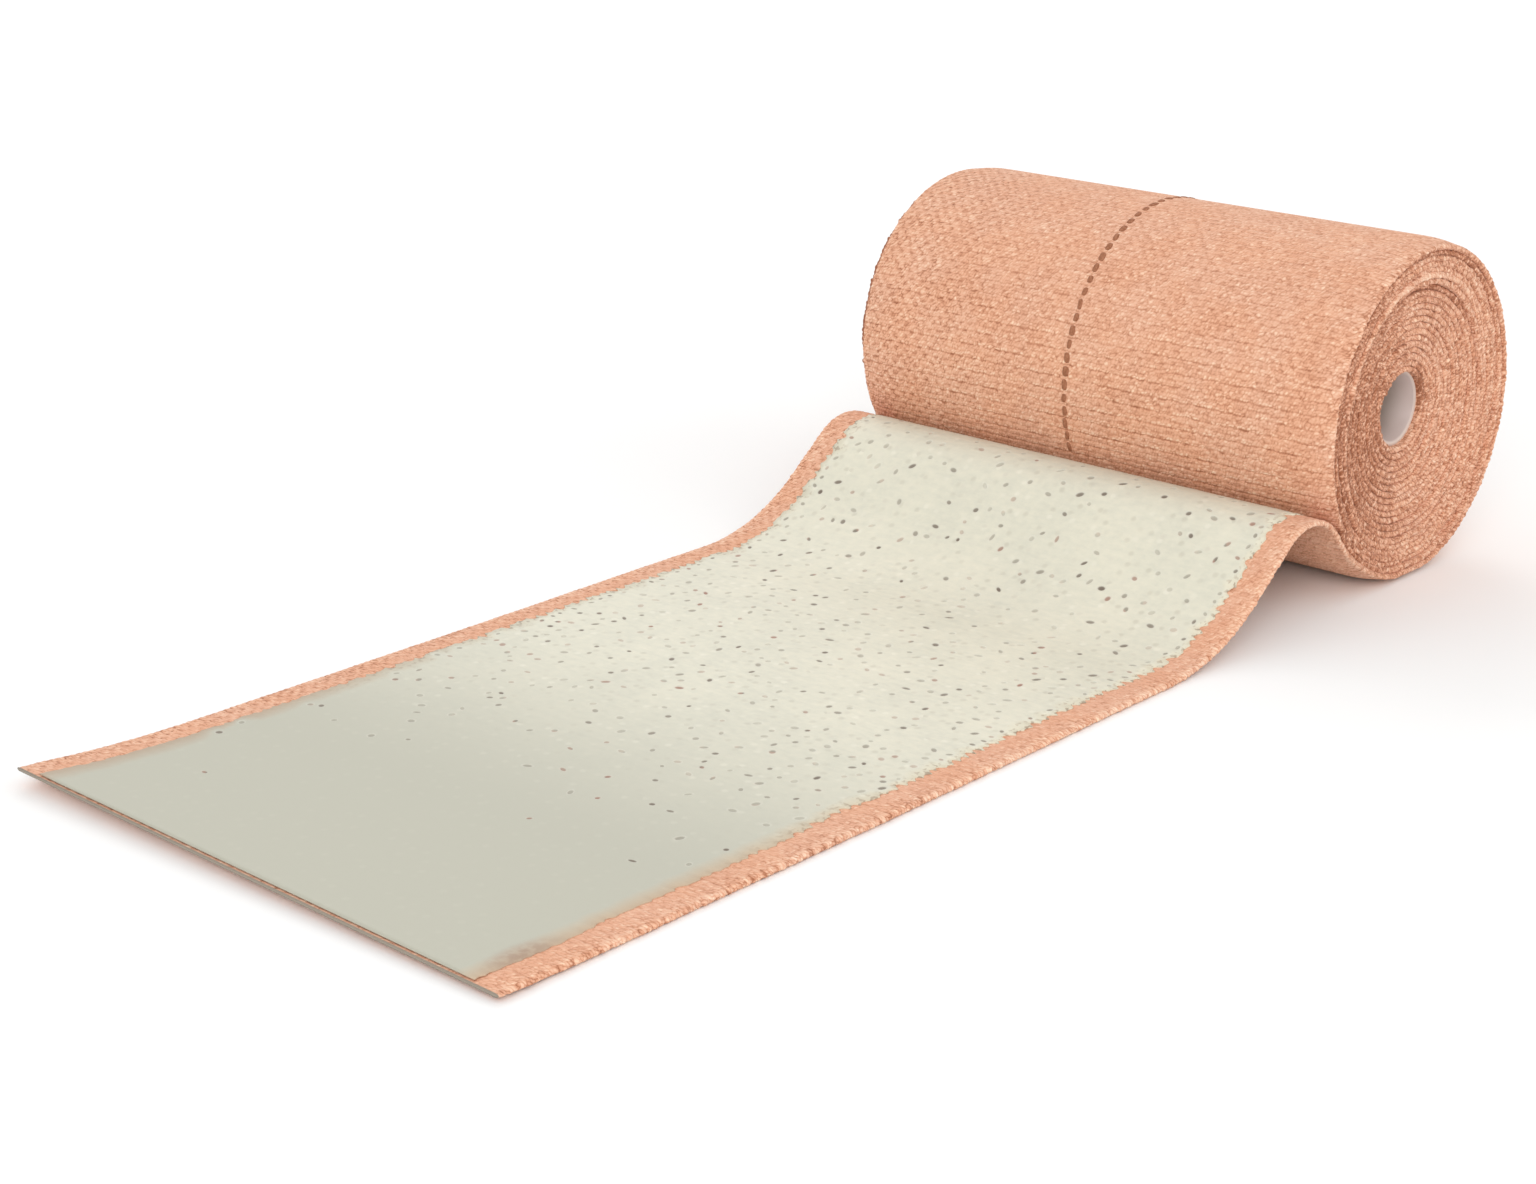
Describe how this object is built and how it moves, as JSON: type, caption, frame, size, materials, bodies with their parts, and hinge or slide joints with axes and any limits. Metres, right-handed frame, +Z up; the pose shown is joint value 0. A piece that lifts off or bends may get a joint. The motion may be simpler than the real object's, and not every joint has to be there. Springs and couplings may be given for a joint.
{
  "type": "elastic adhesive bandage roll",
  "caption": "Roll of woven elastic adhesive bandage on a thin core, resting on its side with its loose end laid out, adhesive side up.",
  "frame": {"origin": "middle of the whole bandage's footprint, on the surface that it rests on", "axes": "+Z up; the roll's axis runs along Y with its dished end towards -Y; the loose end runs out from the roll towards -X"},
  "size_m": [0.243, 0.104, 0.0588],
  "materials": {
    "bandage_cloth": "matt woven crepe cloth, salmon, with a dark stitched guide line",
    "adhesive_side": "cloth with a cream adhesive coat, pinholed, between bare salmon edges",
    "core_tube": "plain off-white"
  },
  "bodies": {
    "root": {"wound_roll": "bandage_cloth", "loose_end": "adhesive_side", "core": "core_tube"}
  },
  "joints": []
}
